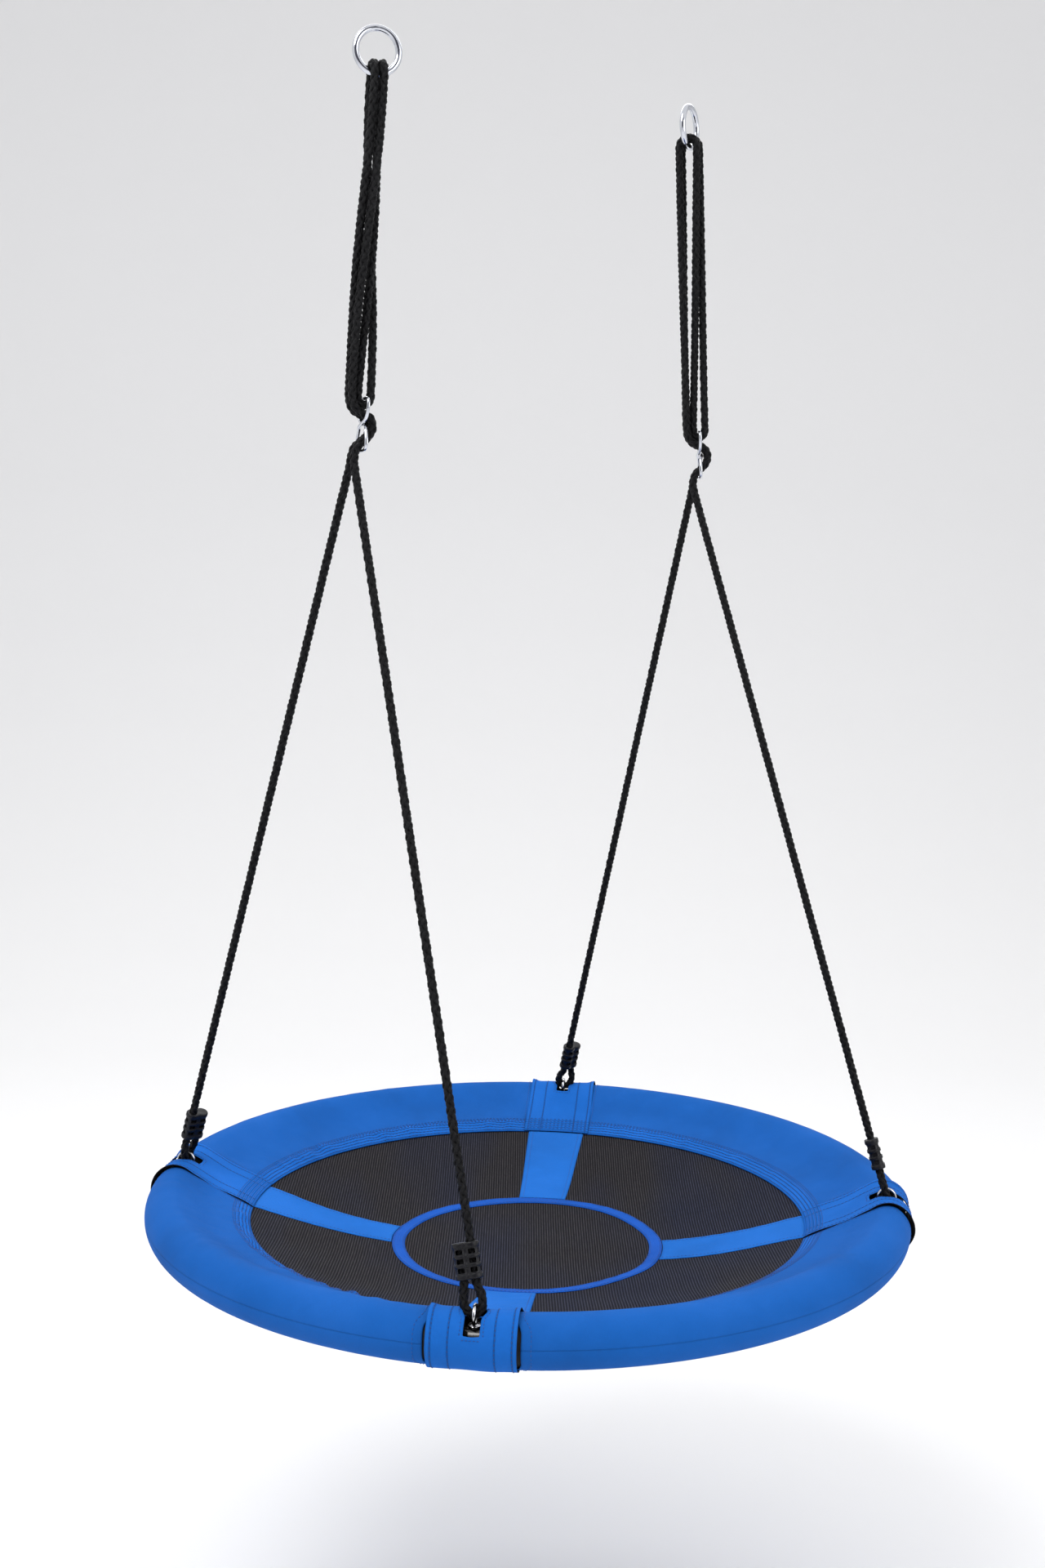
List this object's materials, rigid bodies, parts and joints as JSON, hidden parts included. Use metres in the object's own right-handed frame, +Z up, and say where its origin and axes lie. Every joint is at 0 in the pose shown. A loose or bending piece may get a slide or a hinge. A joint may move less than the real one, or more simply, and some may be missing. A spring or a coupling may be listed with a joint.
{
  "type": "saucer nest swing",
  "caption": "Round nest swing seat: padded blue fabric rim over a tube frame, black mesh centre, hung by doubled black ropes with adjusters from steel rings",
  "frame": {"origin": "where a hook bears inside the left hang ring", "axes": "+X along the hang line from the left ring to the right ring, +Z up, +Y completes the frame, towards the back of the seat's swing arc"},
  "size_m": [1.0006, 1.0006, 1.5274],
  "materials": {
    "ring_steel": "polished",
    "adjuster_steel": "polished",
    "eye_steel": "polished",
    "hardware_zinc": "zinc plated",
    "frame_black": "gloss powder coat",
    "rope": "braided polyethylene",
    "clamp_plastic": "satin moulded",
    "foam_black": "closed cell foam",
    "cover_fabric": "woven polyester",
    "strap_fabric": "woven polyester",
    "seat_mesh": "coated open weave",
    "centre_webbing": "webbing",
    "radial_webbing": "webbing"
  },
  "bodies": {
    "hang_rings": {"ring_left": "ring_steel", "ring_right": "ring_steel"},
    "rope_bights": {"rope_left_bight_1": "rope", "rope_left_bight_2": "rope", "rope_right_bight_1": "rope", "rope_right_bight_2": "rope"},
    "left_ropes": {"rope_left_leg_left": "rope", "rope_left_leg_front": "rope", "rope_left_middle": "rope", "adjuster_left": "adjuster_steel", "clamp_left": "clamp_plastic", "clamp_front": "clamp_plastic"},
    "right_ropes": {"rope_right_leg_back": "rope", "rope_right_leg_right": "rope", "rope_right_middle": "rope", "adjuster_right": "adjuster_steel", "clamp_back": "clamp_plastic", "clamp_right": "clamp_plastic"},
    "seat": {"frame_tube_left": "frame_black", "frame_tube_front": "frame_black", "frame_tube_right": "frame_black", "frame_tube_back": "frame_black", "eye_bolt_left": "eye_steel", "eye_bolt_front": "eye_steel", "eye_bolt_right": "eye_steel", "eye_bolt_back": "eye_steel", "nut_left": "hardware_zinc", "nut_front": "hardware_zinc", "nut_right": "hardware_zinc", "nut_back": "hardware_zinc", "strap_left": "strap_fabric", "strap_front": "strap_fabric", "strap_right": "strap_fabric", "strap_back": "strap_fabric", "radial_band_left": "radial_webbing", "radial_band_front": "radial_webbing", "radial_band_right": "radial_webbing", "radial_band_back": "radial_webbing", "spigot_1": "hardware_zinc", "spigot_2": "hardware_zinc", "spigot_3": "hardware_zinc", "spigot_4": "hardware_zinc", "screw_1": "hardware_zinc", "screw_2": "hardware_zinc", "screw_3": "hardware_zinc", "screw_4": "hardware_zinc", "foam_1": "foam_black", "foam_2": "foam_black", "foam_3": "foam_black", "foam_4": "foam_black", "rim_cover_1": "cover_fabric", "rim_cover_2": "cover_fabric", "rim_cover_3": "cover_fabric", "rim_cover_4": "cover_fabric", "seat_mesh": "seat_mesh", "centre_band": "centre_webbing"}
  },
  "joints": [
    {"name": "swing", "type": "hinge", "parent": "hang_rings", "child": "rope_bights", "pos_m": [0.25, 0, -0.048], "axis": [1, 0, 0], "range_deg": [-35, 35]},
    {"name": "sway", "type": "hinge", "parent": "rope_bights", "child": "left_ropes", "pos_m": [0, 0, -0.048], "axis": [0, 1, 0], "range_deg": [-6, 6]},
    {"name": "sway_right", "type": "hinge", "parent": "rope_bights", "child": "right_ropes", "pos_m": [0.5, 0, -0.048], "axis": [0, 1, 0], "range_deg": [-6, 6]},
    {"name": "seat_level", "type": "hinge", "parent": "left_ropes", "child": "seat", "pos_m": [-0.08234, 0, -1.4234], "axis": [0, 1, 0], "range_deg": [-4.6, 4.6]}
  ],
  "couplings": [
    {"joint": "sway_right", "follows": "sway", "ratio": 1},
    {"joint": "seat_level", "follows": "sway", "ratio": -0.752}
  ]
}
